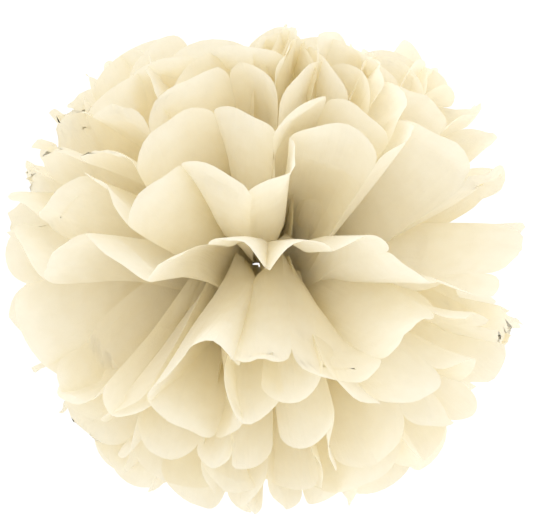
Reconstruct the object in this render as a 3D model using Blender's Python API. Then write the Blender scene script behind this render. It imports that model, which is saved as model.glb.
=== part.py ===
"""Tissue paper pom pom: twelve pleated tissue sheets tied at the middle with a twist of wire.

The origin is the middle of the tie. Z is the axis of the ball, X runs along the folded strip of
paper and Y is the way in which the pleats open. All lengths are in metres.
"""

import math

import bmesh
import bpy

# The paper. Each sheet is a rectangle, pleated across its long side and cut round at both ends.
STRIP_LENGTH = 0.250
SHEET_WIDTH = 0.350
PLEATS = 10
PLEAT_WIDTH = SHEET_WIDTH / PLEATS
TIP_ROUNDING = 0.014
TIP_STEPS = 6
PAPER_THICKNESS = 0.0005

# How far each sheet is pulled up or down from the middle plane, in degrees, from the top sheet.
SHEET_LEANS = (80.0, 65.0, 53.0, 42.0, 31.0, 19.0, 2.0, -16.0, -30.0, -45.0, -61.0, -80.0)
BEND_LENGTH = 0.050
BEND_STEP = 0.0005

# The neck, where the wire squeezes all the sheets into one round bundle.
NECK_HALF_LENGTH = 0.003
NECK_RADIUS = 0.0059
NECK_PITCH = 0.0009

# The fan at each end of the strip. Its front and back edges stop short of the Y axis, and the fan
# opens a little wider towards the tips.
INNER_HALF_ANGLE = math.radians(80.0)
OUTER_HALF_ANGLE = math.radians(87.0)
PLEAT_OPENING_LENGTH = 0.038
PLEAT_OPENING_POWER = 3.0
PAPER_REACH = STRIP_LENGTH / 2.0 - NECK_HALF_LENGTH
NOTCH_REACH = PAPER_REACH - TIP_ROUNDING
RING_REACHES = (0.012, 0.034, 0.066, NOTCH_REACH)
STEEPEST_PLEAT_SHARE = 0.2

# The wire: one round turn, with its two ends twisted together in the cleft at the back.
WIRE_RADIUS = 0.0004
WIRE_TURN_RADIUS = 0.0069
WIRE_SIDES = 8
TURN_STEPS = 30
TURN_OPENING = math.radians(14.0)
TWIST_RADIUS = 0.00075
TWIST_START = 0.0079
TWIST_END = 0.0141
TWIST_TURNS = 2.0
TWIST_STEPS = 16

TISSUE_COLOUR = (0.90, 0.82, 0.62, 1.0)
WIRE_COLOUR = (0.42, 0.44, 0.40, 1.0)


def clear_scene():
    """Removes everything that the start-up scene holds."""
    for obj in list(bpy.data.objects):
        bpy.data.objects.remove(obj)


def make_material(name, colour, roughness, metallic):
    """A plain Principled material."""
    material = bpy.data.materials.new(name)
    material.use_nodes = True
    shader = material.node_tree.nodes["Principled BSDF"]
    shader.inputs["Base Color"].default_value = colour
    shader.inputs["Roughness"].default_value = roughness
    shader.inputs["Metallic"].default_value = metallic
    material.diffuse_color = colour
    return material


def lean_at(lean, reach):
    """Slope of a sheet at a distance along the paper: level at the tie, then bending to its lean."""
    share = min(reach / BEND_LENGTH, 1.0)
    return lean * share * (2.0 - share)


def walk_out(lean, height, reach):
    """Distance from the axis, height and slope of a sheet's middle line, after `reach` of paper."""
    steps = max(1, round(reach / BEND_STEP))
    step = reach / steps
    out = NECK_HALF_LENGTH
    for index in range(steps):
        slope = lean_at(lean, (index + 0.5) * step)
        out += step * math.cos(slope)
        height += step * math.sin(slope)
    return out, height, lean_at(lean, reach)


def fan_half_angle(reach):
    """Half of the angle that the fan covers, at a distance along the paper from the tie."""
    share = reach / PAPER_REACH
    return INNER_HALF_ANGLE + (OUTER_HALF_ANGLE - INNER_HALF_ANGLE) * share


def pleat_depth(width, reach):
    """Height of one pleat where the fan has drawn its two fold lines `width` apart."""
    width = min(width, PLEAT_WIDTH)
    full_depth = math.sqrt(PLEAT_WIDTH**2 - width**2)
    opened = min(reach / PLEAT_OPENING_LENGTH, 1.0)
    return full_depth * opened**PLEAT_OPENING_POWER


def fold_point(side, fold, lean, height, reach):
    """A point of a fold line, and the step from it to the top face of the paper."""
    half_angle = fan_half_angle(reach)
    angle = half_angle * (2.0 * fold / PLEATS - 1.0)
    out, up, slope = walk_out(lean, height, reach)
    width = out * 2.0 * half_angle / PLEATS
    depth = pleat_depth(width, reach)
    rise = (0.5 if fold % 2 else -0.5) * depth
    out_of_fold = out - rise * math.sin(slope)
    up_of_fold = up + rise * math.cos(slope)
    share = max(width / math.hypot(width, depth), STEEPEST_PLEAT_SHARE)
    half = PAPER_THICKNESS / 2.0 / share
    level = math.cos(angle), math.sin(angle)
    point = (side * out_of_fold * level[0], out_of_fold * level[1], up_of_fold)
    lift = (
        -side * half * math.sin(slope) * level[0],
        -half * math.sin(slope) * level[1],
        half * math.cos(slope),
    )
    return point, lift


def neck_point(side, fold, height):
    """A point of a fold line at the end of the neck, where the paper lies flat."""
    half_width = math.sqrt(NECK_RADIUS**2 - height**2)
    across = half_width * (2.0 * fold / PLEATS - 1.0)
    return (side * NECK_HALF_LENGTH, across, height), (0.0, 0.0, PAPER_THICKNESS / 2.0)


def between(first, second, share):
    """The point and the lift at a share of the way from one fold line to the next."""
    return tuple(
        tuple(a + (b - a) * share for a, b in zip(start, end))
        for start, end in zip(first, second)
    )


def tip_points(side, fold, lean, height):
    """The round end of the pleat between a fold line and the next one."""
    points = []
    for step in range(1, TIP_STEPS):
        turn = -math.pi / 2.0 + math.pi * step / TIP_STEPS
        share = 0.5 + 0.5 * math.sin(turn)
        reach = PAPER_REACH - TIP_ROUNDING * (1.0 - math.cos(turn))
        first = fold_point(side, fold, lean, height, reach)
        second = fold_point(side, fold + 1, lean, height, reach)
        points.append(between(first, second, share))
    return points


def add_corner(mesh, corner):
    """Adds the top and bottom vertices of one point of the paper."""
    point, lift = corner
    top = mesh.verts.new([a + b for a, b in zip(point, lift)])
    bottom = mesh.verts.new([a - b for a, b in zip(point, lift)])
    return top, bottom


def add_panel(mesh, corners):
    """Adds the top and bottom faces of one piece of a pleat, given counter-clockwise from above.

    Both faces are split alike, in rungs from the first and last corners to the middle ones.
    """
    first, last = 0, len(corners) - 1
    while last - first >= 2:
        for trio in ((first, first + 1, last - 1), (first, last - 1, last)):
            if len(set(trio)) == 3:
                mesh.faces.new([corners[index][0] for index in trio])
                mesh.faces.new([corners[index][1] for index in reversed(trio)])
        first += 1
        last -= 1


def add_edge(mesh, corners):
    """Adds the cut edge of the paper along a run of corners, counter-clockwise from above."""
    for (top, bottom), (next_top, next_bottom) in zip(corners, corners[1:]):
        mesh.faces.new((top, bottom, next_bottom, next_top))


def fill_sheet(mesh, lean, height):
    """Adds one sheet: rows of fold points from the left tips to the right tips, and round ends."""
    rows = []
    for reach in reversed(RING_REACHES):
        rows.append([fold_point(-1.0, fold, lean, height, reach) for fold in range(PLEATS + 1)])
    rows.append([neck_point(-1.0, fold, height) for fold in range(PLEATS + 1)])
    rows.append([neck_point(1.0, fold, height) for fold in range(PLEATS + 1)])
    for reach in RING_REACHES:
        rows.append([fold_point(1.0, fold, lean, height, reach) for fold in range(PLEATS + 1)])
    grid = [[add_corner(mesh, corner) for corner in row] for row in rows]
    for row, next_row in zip(grid, grid[1:]):
        for fold in range(PLEATS):
            add_panel(mesh, [row[fold], next_row[fold], next_row[fold + 1], row[fold + 1]])

    right_rim = [grid[-1][0]]
    left_rim = [grid[0][0]]
    for fold in range(PLEATS):
        right = [add_corner(mesh, tip) for tip in tip_points(1.0, fold, lean, height)]
        left = [add_corner(mesh, tip) for tip in tip_points(-1.0, fold, lean, height)]
        add_panel(mesh, [grid[-1][fold], *right, grid[-1][fold + 1]])
        add_panel(mesh, [grid[0][fold + 1], *reversed(left), grid[0][fold]])
        right_rim += [*right, grid[-1][fold + 1]]
        left_rim += [*left, grid[0][fold + 1]]
    front = [row[0] for row in grid]
    back = [row[-1] for row in reversed(grid)]
    add_edge(mesh, front)
    add_edge(mesh, right_rim)
    add_edge(mesh, back)
    add_edge(mesh, list(reversed(left_rim)))


def finish_object(name, mesh, material):
    """Splits the faces into triangles and puts the mesh into the scene."""
    bmesh.ops.triangulate(mesh, faces=mesh.faces)
    data = bpy.data.meshes.new(name)
    mesh.to_mesh(data)
    mesh.free()
    data.materials.append(material)
    obj = bpy.data.objects.new(name, data)
    bpy.context.scene.collection.objects.link(obj)
    return obj


def build_sheet(name, lean_degrees, height):
    """One tissue sheet, through the tie from its left tips to its right tips."""
    mesh = bmesh.new()
    fill_sheet(mesh, math.radians(lean_degrees), height)
    material = make_material(name + "_paper", TISSUE_COLOUR, 0.9, 0.0)
    return finish_object(name, mesh, material)


def twist_line(phase, share):
    """A point of one twisted end, which winds round a line along +Y."""
    angle = phase + 2.0 * math.pi * TWIST_TURNS * share
    along = TWIST_START + (TWIST_END - TWIST_START) * share
    return (TWIST_RADIUS * math.cos(angle), along, TWIST_RADIUS * math.sin(angle))


def wire_line():
    """The middle line of the wire: in along one twisted end, round the neck and out again."""
    line = [twist_line(math.pi / 2.0, 1.0 - step / TWIST_STEPS) for step in range(TWIST_STEPS + 1)]
    for step in range(TURN_STEPS + 1):
        turn = TURN_OPENING + (2.0 * math.pi - 2.0 * TURN_OPENING) * step / TURN_STEPS
        line.append((0.0, WIRE_TURN_RADIUS * math.cos(turn), WIRE_TURN_RADIUS * math.sin(turn)))
    line += [twist_line(-math.pi / 2.0, step / TWIST_STEPS) for step in range(TWIST_STEPS + 1)]
    return line


def build_wire(name):
    """The wire, as a round section carried along its middle line."""
    curve = bpy.data.curves.new(name + "_line", "CURVE")
    curve.dimensions = "3D"
    curve.bevel_depth = WIRE_RADIUS
    curve.bevel_resolution = WIRE_SIDES // 4 - 1
    curve.use_fill_caps = True
    line = wire_line()
    spline = curve.splines.new("POLY")
    spline.points.add(len(line) - 1)
    for point, place in zip(spline.points, line):
        point.co = (*place, 1.0)
    guide = bpy.data.objects.new(name + "_line", curve)
    bpy.context.scene.collection.objects.link(guide)
    graph = bpy.context.evaluated_depsgraph_get()
    swept = bpy.data.meshes.new_from_object(guide.evaluated_get(graph))
    mesh = bmesh.new()
    mesh.from_mesh(swept)
    bmesh.ops.remove_doubles(mesh, verts=mesh.verts, dist=WIRE_RADIUS / 100.0)
    bmesh.ops.recalc_face_normals(mesh, faces=mesh.faces)
    bpy.data.objects.remove(guide)
    return finish_object(name, mesh, make_material(name + "_steel", WIRE_COLOUR, 0.4, 1.0))


def build():
    """Builds the sheets from the top one to the bottom one, and then the wire."""
    clear_scene()
    middle = (len(SHEET_LEANS) - 1) / 2.0
    for index, lean in enumerate(SHEET_LEANS):
        build_sheet(f"tissue_sheet_{index + 1}", lean, (middle - index) * NECK_PITCH)
    build_wire("tie_wire")


build()
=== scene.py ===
# %% [markdown]
# # A tissue paper pom pom
#
# Twelve sheets of cream tissue paper are laid on each other, pleated like an accordion, tied round the
# middle with wire and cut round at both ends. Then each sheet is pulled away from the next, half of
# them up and half of them down, until the strip of folded paper is a ball of petals.
#
# This lesson loads the plain solid model as a fixed frame, and then makes each sheet again as thin
# paper: a pleated surface with creases, cupped petals and a finish that lets light through.

import math

import bpy
import numpy as np
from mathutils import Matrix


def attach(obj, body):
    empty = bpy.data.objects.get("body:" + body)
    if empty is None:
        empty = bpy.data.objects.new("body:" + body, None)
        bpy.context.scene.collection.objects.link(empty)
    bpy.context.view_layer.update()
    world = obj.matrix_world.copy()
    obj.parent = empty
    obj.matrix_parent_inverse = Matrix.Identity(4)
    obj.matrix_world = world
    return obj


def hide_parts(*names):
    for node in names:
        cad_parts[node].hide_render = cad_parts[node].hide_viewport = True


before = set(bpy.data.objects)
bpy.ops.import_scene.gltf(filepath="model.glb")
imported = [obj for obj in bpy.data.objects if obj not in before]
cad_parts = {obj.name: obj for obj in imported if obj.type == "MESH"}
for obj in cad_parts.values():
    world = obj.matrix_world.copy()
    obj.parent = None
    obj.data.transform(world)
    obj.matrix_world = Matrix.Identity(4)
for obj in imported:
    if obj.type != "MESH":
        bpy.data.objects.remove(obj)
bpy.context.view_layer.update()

# %% [markdown]
# ## The paper
#
# Every sheet is a rectangle of tissue, 250 by 350 mm. Ten pleats across its long side make each pleat
# 35 mm wide, and the scissors round both ends of the folded strip, so every pleat ends in a petal.
# The same few sizes drive the whole model.

# %% Sizes of the paper and of the tie
STRIP_LENGTH = 0.250
SHEET_WIDTH = 0.350
PLEATS = 10
PLEAT_WIDTH = SHEET_WIDTH / PLEATS
TIP_ROUNDING = 0.0150
NECK_HALF_LENGTH = 0.003
NECK_RADIUS = 0.0059
NECK_PITCH = 0.0009
PAPER_REACH = STRIP_LENGTH / 2 - NECK_HALF_LENGTH

sheet_names = sorted(
    (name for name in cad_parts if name.startswith("tissue_sheet_")),
    key=lambda name: int(name.rsplit("_", 1)[1]),
)

# %% [markdown]
# ## How the sheets are pulled apart
#
# Each row says how steeply the petals of one sheet point up, in degrees, at the front, the left, the
# right and the back of the ball, from the top sheet to the bottom one. Hands never pull a sheet up
# evenly, so the four numbers of a sheet differ.

# %% Direction of each sheet's petals
PETALS_UP = np.array(
    [
        (55, 46, 53, 55),
        (51, 40, 51, 51),
        (47, 35, 47, 46),
        (43, 29, 42, 40),
        (32, 20, 33, 30),
        (20, 11, 21, 18),
        (0, -3, 6, 2),
        (-20, -14, -9, -16),
        (-31, -25, -21, -30),
        (-44, -38, -35, -44),
        (-59, -52, -50, -58),
        (-70, -62, -62, -70),
    ],
    float,
)


def petals_up(row, around):
    """Rise of a sheet's petals, in degrees, at an angle round Z that is 0 at the right.

    The sum of a level, a first harmonic in x and in y, and a second harmonic in x squared less
    y squared passes through the four given directions.
    """
    front, left, right, back = row
    level = (front + left + right + back) / 4
    in_x = (right - left) / 2
    in_y = (back - front) / 2
    in_both = (right + left - front - back) / 4
    return level + in_x * np.cos(around) + in_y * np.sin(around) + in_both * np.cos(2 * around)


# %% [markdown]
# ## Fold lines
#
# A pleated sheet is held by its fold lines. Each one starts flat in the tie, bends up or down to its
# petal's direction and runs out to a notch between two petals. Next to each other, fold lines stand
# high and low by turns, and where the fan has not drawn two of them apart to the full width of a
# pleat, the rest of the width goes into the height of the fold.

# %% Fold lines as arrays
BEND_LENGTH = 0.046
OVERSHOOT = 1.12
PLEAT_OPENING_LENGTH = 0.030
MOST_DEPTH = 0.031
FREE_EDGE_TURN = 0.35
LINE_STEPS = 160
reach_line = np.linspace(0, PAPER_REACH, LINE_STEPS)


def ease(x):
    """Runs from 0 to 1 as x does, level at both ends: x squared times 3 less twice x."""
    x = np.clip(x, 0, 1)
    return x * x * (3 - 2 * x)


def fold_lines(plan, side, height):
    """Points of a half sheet's fold lines, as an array of fold, step and xyz.

    Distance out and height are the running sums of the cosine and sine of the slope. The slope
    grows to the petal's direction as 2x less x squared, and droops with the square of the last
    part. Half the pleat's depth is added across the slope, up and down by turns, where the depth
    is the square root of the pleat's width squared less the drawn width squared.
    """
    bend = np.clip(reach_line / BEND_LENGTH, 0, 1)
    last = np.clip((reach_line - 0.055) / (PAPER_REACH - 0.055), 0, None)
    slope = np.radians(plan["up"])[:, None] * OVERSHOOT * bend * (2 - bend)
    slope = slope + np.radians(plan["droop"])[:, None] * last**2
    step = reach_line[1] - reach_line[0]
    zero = np.zeros((len(slope), 1))
    middle = (slope[:, 1:] + slope[:, :-1]) / 2
    out = NECK_HALF_LENGTH + np.hstack([zero, np.cumsum(np.cos(middle) * step, 1)])
    up = height + np.hstack([zero, np.cumsum(np.sin(middle) * step, 1)])

    opening = 0.9 + 0.1 * ease(reach_line / 0.06)
    centre = plan["around"].mean()
    around = centre + (plan["around"][:, None] - centre) * opening
    around = np.radians(around + plan["sway"][:, None] * last**1.5)

    gaps = np.abs(np.diff(around, axis=0))
    gap = np.vstack([gaps[:1], (gaps[1:] + gaps[:-1]) / 2, gaps[-1:]])
    drawn = np.clip(out * gap, 0, PLEAT_WIDTH)
    opened = np.clip(reach_line / PLEAT_OPENING_LENGTH, 0, 1) ** 2.4
    flatten = 1 + (plan["crisp"][:, None] - 1) * ease((reach_line - 0.012) / 0.07)
    depth = np.minimum(np.sqrt(PLEAT_WIDTH**2 - drawn**2), MOST_DEPTH) * opened * flatten
    turn = np.where(np.arange(PLEATS + 1) % 2, 0.5, -0.5)[:, None]
    turn[[0, -1]] *= FREE_EDGE_TURN
    out_of_fold = out - turn * depth * np.sin(slope)
    up_of_fold = up + turn * depth * np.cos(slope)
    fan = np.stack(
        [side * out_of_fold * np.sin(around), -out_of_fold * np.cos(around), up_of_fold], axis=-1
    )

    across = math.sqrt(NECK_RADIUS**2 - height**2) * np.linspace(-1, 1, PLEATS + 1)
    neck = np.empty_like(fan)
    neck[..., 0] = side * (NECK_HALF_LENGTH + reach_line * np.sin(around[:, :1]))
    neck[..., 1] = across[:, None] - reach_line * np.cos(around[:, :1])
    neck[..., 2] = height
    share = ease(reach_line / 0.012)[None, :, None]
    return neck * (1 - share) + fan * share


# %% [markdown]
# ## From fold lines to paper
#
# Between two fold lines the paper is one flat pleat that has been pushed about: where the lines
# stand closer than the pleat is wide, it must bow out. Each petal is also curled a little at its tip
# and ruffled along its cut edge, and fine creases run out from the tie.

# %% The surface of half a sheet
COLUMNS = 14
ROWS = 52


def column_grid():
    """Number of the pleat and share of its width for each column, closer together at the folds."""
    turn = np.pi * np.arange(COLUMNS) / COLUMNS
    share = np.tile((1 - np.cos(turn)) / 2, PLEATS)
    pleat = np.repeat(np.arange(PLEATS), COLUMNS)
    return np.append(pleat, PLEATS - 1), np.append(share, 1.0)


def half_sheet(plan, side, height):
    """Points of a half sheet, as an array of column, row and xyz.

    A point is the mean of two fold lines, weighted by its share of the pleat's width, plus a push
    along the pleat's normal. The push is a parabola across the pleat whose height gives the curve
    the pleat's true width, plus a curl that grows with the square of the last part, a ruffle along
    the edge and creases that fade out from the tie.
    """
    lines = fold_lines(plan, side, height)
    pleat, share = column_grid()
    round_end = 1 - np.sqrt(np.clip(1 - (2 * share - 1) ** 2, 0, 1))
    end = PAPER_REACH - TIP_ROUNDING * round_end + plan["longer"][pleat] * (1 - round_end)
    end = np.minimum(end, PAPER_REACH)
    rows = np.linspace(0, 1, ROWS) ** 0.9
    reach = end[:, None] * rows

    place = reach / PAPER_REACH * (LINE_STEPS - 1)
    low = np.clip(place.astype(int), 0, LINE_STEPS - 2)
    part = (place - low)[..., None]
    low_line, high_line = lines[pleat], lines[pleat + 1]
    column = np.arange(len(pleat))[:, None]
    first = low_line[column, low] * (1 - part) + low_line[column, low + 1] * part
    second = high_line[column, low] * (1 - part) + high_line[column, low + 1] * part
    v = share[:, None, None]
    flat = first * (1 - v) + second * v

    along = low_line[column, low + 1] - low_line[column, low]
    along = along + high_line[column, low + 1] - high_line[column, low]
    chord = second - first
    normal = side * np.cross(along, chord)
    normal /= np.linalg.norm(normal, axis=-1, keepdims=True) + 1e-12

    width = np.linalg.norm(chord, axis=-1)
    bow = 4 * share * (1 - share)
    bow = bow[:, None]
    spare = np.clip(PLEAT_WIDTH / np.maximum(width, 0.004) - 1, 0, 1.2)
    sag = np.minimum(width * np.sqrt(0.375 * spare), 0.015)
    last = np.clip((reach - 0.055) / (PAPER_REACH - 0.055), 0, None)
    push = bow * sag * plan["belly"][pleat][:, None] * ease((reach - 0.01) / 0.05)
    push = push + bow * plan["curl"][pleat][:, None] * last**2
    wave = np.sin(2 * np.pi * (plan["ruffle_turns"][pleat] * share + plan["ruffle_start"][pleat]))
    open_share = np.clip(width / PLEAT_WIDTH, 0, 1)
    push = push + bow * wave[:, None] * plan["ruffle"][pleat][:, None] * last**3 * open_share
    crease = creases(plan, pleat + share, reach)
    push = push + np.sqrt(bow) * crease * open_share
    return flat + normal * push[..., None]


def creases(plan, across, reach):
    """Small folds that run out from the tie: a sum of sines across the pleats.

    Each sine drifts a little along the paper, and its height fades from the tie to the tips.
    """
    total = np.zeros(reach.shape)
    drift = reach / PAPER_REACH
    for turns, start, lean, size in plan["creases"]:
        wave = np.sin(2 * np.pi * (turns * across[:, None] + start + lean * drift))
        fade = np.sin(np.pi * np.clip(drift * 0.92 + 0.04, 0, 1)) * (1.15 - drift)
        total = total + size * wave * fade
    return total


# %% [markdown]
# ## Petals at the front
#
# The petals at the front are the ones that a hand opened last, so they are listed one by one. Each row
# lists the first fold lines of one half sheet, from the front: how far round from the front in
# degrees, and how steeply up. A fold line that starts below zero lies across the front cleft, over
# the other half of its sheet. Two lines that stand close together leave a narrow, folded petal: there
# the second and fourth lines of a row stay the higher ones, or the paper would cross itself.

# %% Fold lines listed one by one
LEFT, RIGHT = -1, 1
FRONT_FOLDS = {
    (1, LEFT): [(-6, 52), (22, 54), (50, 50), (58, 62), (66, 48)],
    (1, RIGHT): [(0, 54), (7, 62), (14, 52), (40, 53), (48, 51), (76, 51)],
    (2, LEFT): [(-3, 51), (6, 53), (36, 54), (45, 50), (76, 48)],
    (2, RIGHT): [(-5, 52), (5, 54), (36, 55), (44, 52), (76, 54)],
    (3, LEFT): [(-6, 53), (10, 54), (28, 43), (34, 48), (60, 39)],
    (3, RIGHT): [(4, 48), (17, 54), (24, 47), (50, 52), (58, 48), (82, 50)],
    (4, LEFT): [(-5, 44), (12, 45), (33, 35), (53, 32), (68, 29)],
    (4, RIGHT): [(4, 40), (22, 46), (28, 42), (36, 50), (60, 44)],
    (5, LEFT): [(-2, 33), (15, 33), (34, 24), (48, 20), (64, 20)],
    (5, RIGHT): [(4, 30), (18, 36), (33, 35), (39, 42), (61, 34)],
    (6, LEFT): [(5, 15), (21, 18), (31, 11), (48, 17), (62, 9)],
    (6, RIGHT): [(-6, 17), (8, 26), (28, 27), (38, 31), (58, 21)],
    (7, LEFT): [(-1, 0), (11, 4), (25, -3), (41, 7), (57, -5)],
    (7, RIGHT): [(0, -1), (13, 2), (29, 3), (43, -4), (61, -3)],
    (8, LEFT): [(6, -22), (17, -25), (28, -30), (45, -34), (62, -26)],
    (8, RIGHT): [(-7, -20), (8, -22), (26, -21), (44, -14), (62, -14)],
    (9, LEFT): [(-3, -29), (10, -31), (15, -39), (32, -36), (50, -36)],
    (9, RIGHT): [(0, -27), (13, -26), (28, -30), (45, -30), (62, -26)],
    (10, LEFT): [(-4, -47), (11, -46), (24, -43), (41, -45), (58, -44)],
    (10, RIGHT): [(3, -42), (20, -42), (27, -48), (45, -43), (62, -40)],
    (11, LEFT): [(2, -60), (20, -57), (28, -60), (54, -53)],
    (11, RIGHT): [(-5, -58), (14, -56), (22, -59), (48, -53)],
}

# %% [markdown]
# ## Small accidents
#
# No two petals are alike. A seeded random generator gives each fold line and each petal its own small
# differences, so the ball looks the same each time the script runs. Behind the petals that are
# listed one by one it also chooses where the fold lines stand.

# %% A plan for each half of each sheet
SEED = 20
FAN_START = 1.0
FAN_END = 179.0
MOST_SWAY = 0.2
ARRANGED_CRISPNESS = 0.5
CALM_SHEET = 7
CALM_CRISPNESS = 0.15
SIDE_TILT = {LEFT: 6.0, RIGHT: 2.0}


def uneven_steps(rng, start, end, count, steepness):
    """Places from start to end: running sums of steps that are wide and narrow by turns.

    The steeper the sheet, the less room its fan has, and the more every other pleat is hidden.
    """
    by_turns = np.where(np.arange(count) % 2, -1, 1) * rng.choice((-1, 1))
    steps = 1 + (0.10 + 0.38 * steepness) * by_turns + 0.2 * rng.uniform(-1, 1, count)
    return start + (end - start) * np.append(0, np.cumsum(steps)) / steps.sum()


def limited_sway(sway, around):
    """The sway of each fold line's tip, held to a fifth of the gap to the next line on that side."""
    gaps = np.diff(around)
    before, after = np.append(gaps[0], gaps), np.append(gaps, gaps[-1])
    return np.clip(sway, -MOST_SWAY * before, MOST_SWAY * after)


def make_plan(number, side):
    """Numbers for one half of one sheet: 11 for its fold lines and 10 for its pleats."""
    rng = np.random.default_rng(SEED * 100 + number * 2 + (side > 0))
    folds = PLEATS + 1
    steepness = abs(PETALS_UP[number - 1].mean()) / 60
    crosses = 7 if (number + (side > 0)) % 2 else -3
    arranged = np.array(FRONT_FOLDS.get((number, side), [(FAN_START - crosses, 0)]), float)
    rest = uneven_steps(rng, arranged[-1, 0], FAN_END + crosses, folds - len(arranged), steepness)
    around = np.append(arranged[:, 0], rest[1:])
    from_right = np.radians(-90 + side * around)
    up = petals_up(PETALS_UP[number - 1], from_right)
    by_turns = np.where(np.arange(folds) % 2, 1, -1)
    at_side = ease(1.4 - np.abs(around - 85) / 40)
    up = up + SIDE_TILT[side] * by_turns * at_side * (1 - steepness)
    up = up + 3.5 * np.sin(np.radians(around * 2.5 + rng.uniform(0, 360))) + rng.normal(0, 1.2, folds)
    crisp = np.clip(rng.uniform(0.45, 0.95, folds) + 0.45 * steepness, 0, 1)
    if (number, side) in FRONT_FOLDS:
        up[: len(arranged)] = arranged[:, 1]
        arranged_crispness = ARRANGED_CRISPNESS + 0.45 * steepness
        crisp[: len(arranged)] = CALM_CRISPNESS if number == CALM_SHEET else arranged_crispness
    return {
        "around": around,
        "up": up,
        "droop": 7 * np.sin(np.radians(around * 2.5 + rng.uniform(0, 360))) + rng.normal(0, 2, folds) - 0.06 * up,
        "sway": limited_sway(rng.normal(0, 2.5, folds), around),
        "crisp": crisp,
        "belly": rng.choice((-1, 1), PLEATS) * rng.uniform(0.6, 1.0, PLEATS),
        "curl": rng.normal(0, 0.005, PLEATS),
        "ruffle": rng.uniform(0.0004, 0.0022, PLEATS),
        "ruffle_turns": rng.uniform(0.8, 2.0, PLEATS),
        "ruffle_start": rng.uniform(0, 1, PLEATS),
        "longer": rng.uniform(-0.004, 0.001, PLEATS),
        "creases": [
            (rng.uniform(0.8, 3.4), rng.uniform(0, 1), rng.normal(0, 0.3), rng.uniform(0.2, 0.45) * 1e-3)
            for _ in range(6)
        ],
    }


plans = {
    (number, side): make_plan(number, side)
    for number in range(1, len(sheet_names) + 1)
    for side in (LEFT, RIGHT)
}
print(len(plans), "plans for half sheets")

# %% [markdown]
# ## Putting a sheet into the scene
#
# The left half, read from its tips to the tie, and the right half, read from the tie to its tips, make
# one grid, so each sheet stays one piece of paper. Its UV map is the flat sheet before folding, which
# lets the finish follow the paper.

# %% A mesh from a grid of points
SHARP_FOLD = math.radians(38)


def grid_faces(columns, rows):
    """Corners of the quads of a grid, counter-clockwise from above, as an array of faces."""
    corner = np.arange(columns * rows).reshape(columns, rows)
    quads = [corner[:-1, :-1], corner[:-1, 1:], corner[1:, 1:], corner[1:, :-1]]
    return np.stack(quads, axis=-1).reshape(-1, 4)


def mesh_from_grid(name, points, flat):
    """A smooth mesh whose vertices are a grid of points, with the flat places as its UV map."""
    columns, rows = points.shape[:2]
    faces = grid_faces(columns, rows)
    mesh = bpy.data.meshes.new(name)
    mesh.vertices.add(columns * rows)
    mesh.vertices.foreach_set("co", points.reshape(-1).astype(np.float32))
    mesh.loops.add(faces.size)
    mesh.loops.foreach_set("vertex_index", faces.reshape(-1).astype(np.int32))
    mesh.polygons.add(len(faces))
    mesh.polygons.foreach_set("loop_start", np.arange(0, faces.size, 4, dtype=np.int32))
    mesh.update(calc_edges=True)
    mesh.validate()
    mesh.shade_smooth()
    mesh.set_sharp_from_angle(angle=SHARP_FOLD)
    uv = mesh.uv_layers.new(name="FlatSheet")
    uv.data.foreach_set("uv", flat.reshape(-1, 2)[faces.reshape(-1)].reshape(-1).astype(np.float32))
    return mesh


def make_sheet(index):
    """One whole sheet, from the left tips through the tie to the right tips."""
    height = ((len(sheet_names) - 1) / 2 - index) * NECK_PITCH
    left = half_sheet(plans[index + 1, LEFT], LEFT, height)
    right = half_sheet(plans[index + 1, RIGHT], RIGHT, height)
    points = np.concatenate([left[:, ::-1], right], axis=1)
    pleat, share = column_grid()
    across = np.repeat(((pleat + share) / PLEATS)[:, None], points.shape[1], axis=1)
    along = np.linspace(0, 1, points.shape[1])[None, :].repeat(len(pleat), axis=0)
    flat = np.stack([along, across * SHEET_WIDTH / STRIP_LENGTH], axis=-1)
    name = sheet_names[index].replace("tissue_sheet", "tissue_paper")
    sheet = bpy.data.objects.new(name, mesh_from_grid(name, points, flat))
    bpy.context.scene.collection.objects.link(sheet)
    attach(sheet, "root")
    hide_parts(sheet_names[index])
    return sheet


# %% Make the twelve sheets
sheets = [make_sheet(index) for index in range(len(sheet_names))]
print("faces in the paper:", sum(len(sheet.data.polygons) for sheet in sheets))

# %% [markdown]
# ## Tissue
#
# Tissue paper is so thin that about a third of the light goes through it. A diffuse layer mixed with
# a translucent one does this, and light that has been through several layers turns golden in the
# depth of the ball. Soft clouds of thicker fibre and a fine crinkle keep the paper from looking like
# plastic.

# %% The tissue finish
def new_material(name):
    """An empty node material and its output."""
    material = bpy.data.materials.new(name)
    material.use_nodes = True
    nodes = material.node_tree.nodes
    nodes.clear()
    output = nodes.new("ShaderNodeOutputMaterial")
    return material, nodes, material.node_tree.links, output


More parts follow.
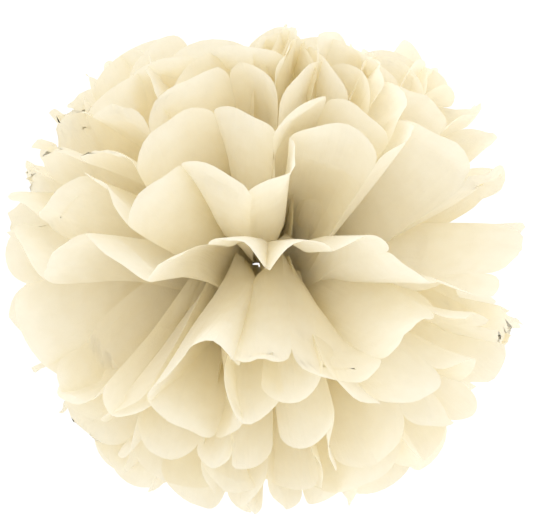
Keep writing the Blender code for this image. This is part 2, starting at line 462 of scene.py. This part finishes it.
def tissue_material():
    """Cream tissue: a soft diffuse layer and a translucent one, with fibre clouds and crinkle."""
    material, nodes, links, output = new_material("cream_tissue")
    place = nodes.new("ShaderNodeTexCoord")
    clouds = nodes.new("ShaderNodeTexNoise")
    clouds.inputs["Scale"].default_value = 26.0
    clouds.inputs["Detail"].default_value = 4.0
    links.new(place.outputs["UV"], clouds.inputs["Vector"])
    reflect = nodes.new("ShaderNodeValToRGB")
    reflect.color_ramp.elements[0].position = 0.30
    reflect.color_ramp.elements[0].color = (0.955, 0.915, 0.80, 1)
    reflect.color_ramp.elements[1].position = 0.70
    reflect.color_ramp.elements[1].color = (0.98, 0.95, 0.85, 1)
    links.new(clouds.outputs["Fac"], reflect.inputs["Fac"])
    through = nodes.new("ShaderNodeValToRGB")
    through.color_ramp.elements[0].position = 0.30
    through.color_ramp.elements[0].color = (0.955, 0.905, 0.745, 1)
    through.color_ramp.elements[1].position = 0.70
    through.color_ramp.elements[1].color = (0.98, 0.94, 0.80, 1)
    links.new(clouds.outputs["Fac"], through.inputs["Fac"])

    fibres = nodes.new("ShaderNodeTexNoise")
    fibres.inputs["Scale"].default_value = 260.0
    fibres.inputs["Detail"].default_value = 5.0
    fibres.inputs["Roughness"].default_value = 0.65
    links.new(place.outputs["UV"], fibres.inputs["Vector"])
    crinkle = nodes.new("ShaderNodeBump")
    crinkle.inputs["Strength"].default_value = 0.25
    crinkle.inputs["Distance"].default_value = 0.0006
    links.new(fibres.outputs["Fac"], crinkle.inputs["Height"])

    long_way = nodes.new("ShaderNodeMapping")
    long_way.inputs["Scale"].default_value = (2.4, 46.0, 1.0)
    links.new(place.outputs["UV"], long_way.inputs["Vector"])
    lines = nodes.new("ShaderNodeTexNoise")
    lines.inputs["Scale"].default_value = 1.0
    lines.inputs["Detail"].default_value = 3.0
    links.new(long_way.outputs["Vector"], lines.inputs["Vector"])
    pressed = nodes.new("ShaderNodeBump")
    pressed.inputs["Strength"].default_value = 0.5
    pressed.inputs["Distance"].default_value = 0.0016
    links.new(lines.outputs["Fac"], pressed.inputs["Height"])
    links.new(crinkle.outputs["Normal"], pressed.inputs["Normal"])

    paper = nodes.new("ShaderNodeBsdfPrincipled")
    paper.inputs["Roughness"].default_value = 0.85
    paper.inputs["Specular IOR Level"].default_value = 0.15
    links.new(reflect.outputs["Color"], paper.inputs["Base Color"])
    links.new(pressed.outputs["Normal"], paper.inputs["Normal"])
    glow = nodes.new("ShaderNodeBsdfTranslucent")
    links.new(through.outputs["Color"], glow.inputs["Color"])
    links.new(pressed.outputs["Normal"], glow.inputs["Normal"])
    mix = nodes.new("ShaderNodeMixShader")
    mix.inputs["Fac"].default_value = 0.52
    links.new(paper.outputs["BSDF"], mix.inputs[1])
    links.new(glow.outputs["BSDF"], mix.inputs[2])
    links.new(mix.outputs["Shader"], output.inputs["Surface"])
    return material


tissue = tissue_material()
for sheet in sheets:
    sheet.data.materials.append(tissue)
print("finish on the sheets:", tissue.name)


# %% [markdown]
# ## Tie wire
#
# The wire keeps the shape of the solid model. It is drawn steel with a dull skin, so its colour
# varies in streaks.

# %% The wire finish
def wire_material():
    """Dull drawn steel, with streaks of grey."""
    material, nodes, links, output = new_material("dull_wire")
    place = nodes.new("ShaderNodeTexCoord")
    streaks = nodes.new("ShaderNodeTexNoise")
    streaks.inputs["Scale"].default_value = 900.0
    streaks.inputs["Detail"].default_value = 3.0
    links.new(place.outputs["Object"], streaks.inputs["Vector"])
    grey = nodes.new("ShaderNodeValToRGB")
    grey.color_ramp.elements[0].color = (0.28, 0.29, 0.27, 1)
    grey.color_ramp.elements[1].color = (0.55, 0.56, 0.53, 1)
    links.new(streaks.outputs["Fac"], grey.inputs["Fac"])
    steel = nodes.new("ShaderNodeBsdfPrincipled")
    steel.inputs["Metallic"].default_value = 1.0
    steel.inputs["Roughness"].default_value = 0.42
    links.new(grey.outputs["Color"], steel.inputs["Base Color"])
    links.new(steel.outputs["BSDF"], output.inputs["Surface"])
    return material


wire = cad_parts["tie_wire"]
wire.data.materials.clear()
wire.data.materials.append(wire_material())
print("finish on the wire:", wire.data.materials[0].name)

# %% [markdown]
# ## Studio
#
# The ball hangs in a white room over a pale floor. Light comes from all round, with more of it from
# above, so the tips of the petals are almost white and the folds keep their colour.

# %% Floor and light
FLOOR_DROP = 0.90


def make_floor():
    """A wide square of pale floor below the ball."""
    half = 6.0
    corners = [(-half, -half), (half, -half), (half, half), (-half, half)]
    mesh = bpy.data.meshes.new("floor")
    mesh.from_pydata([(x, y, -FLOOR_DROP) for x, y in corners], [], [(0, 1, 2, 3)])
    floor = bpy.data.objects.new("floor", mesh)
    bpy.context.scene.collection.objects.link(floor)
    material, nodes, links, output = new_material("pale_floor")
    surface = nodes.new("ShaderNodeBsdfPrincipled")
    surface.inputs["Base Color"].default_value = (0.97, 0.97, 0.97, 1)
    surface.inputs["Roughness"].default_value = 0.9
    links.new(surface.outputs["BSDF"], output.inputs["Surface"])
    mesh.materials.append(material)
    return floor


def make_room(strength):
    """Even white light from all round."""
    world = bpy.data.worlds.new("white_room")
    world.use_nodes = True
    background = world.node_tree.nodes["Background"]
    background.inputs["Color"].default_value = (1, 1, 1, 1)
    background.inputs["Strength"].default_value = strength
    bpy.context.scene.world = world


def make_softbox(name, place, aim, size, power):
    """A square area light at a place, turned to face its aim."""
    light = bpy.data.lights.new(name, "AREA")
    light.size = size
    light.energy = power
    lamp = bpy.data.objects.new(name, light)
    lamp.location = place
    offset = np.array(aim, float) - np.array(place, float)
    flat_distance = math.hypot(offset[0], offset[1])
    lamp.rotation_euler = (
        math.atan2(flat_distance, -offset[2]),
        0.0,
        math.atan2(-offset[0], offset[1]),
    )
    bpy.context.scene.collection.objects.link(lamp)
    return lamp


make_floor()
make_room(1.1)
make_softbox("top_softbox", (-0.35, -0.45, 1.0), (0, 0, 0), 0.7, 2.0)
make_softbox("right_softbox", (1.0, 0.35, -0.05), (0.05, 0, 0), 0.6, 2.0)
bpy.context.scene.view_settings.view_transform = "Standard"

# %% Light through many sheets
LIGHT_BOUNCES = 16
for kind in ("max_bounces", "diffuse_bounces", "transmission_bounces"):
    setattr(bpy.context.scene.cycles, kind, LIGHT_BOUNCES)

# %% [markdown]
# ## Camera
#
# The camera looks level at the cleft where the two halves of the ball meet, from a little under a
# metre away.

# %% Camera
CAMERA_DISTANCE = 0.95
VIEW_WIDTH = 0.2516
camera_data = bpy.data.cameras.new("camera")
camera_data.sensor_width = 36.0
camera_data.lens = camera_data.sensor_width * CAMERA_DISTANCE / VIEW_WIDTH
camera = bpy.data.objects.new("camera", camera_data)
camera.location = (0.0007, -CAMERA_DISTANCE, 0.0014)
camera.rotation_euler = (math.radians(90), 0, 0)
bpy.context.scene.collection.objects.link(camera)
bpy.context.scene.camera = camera
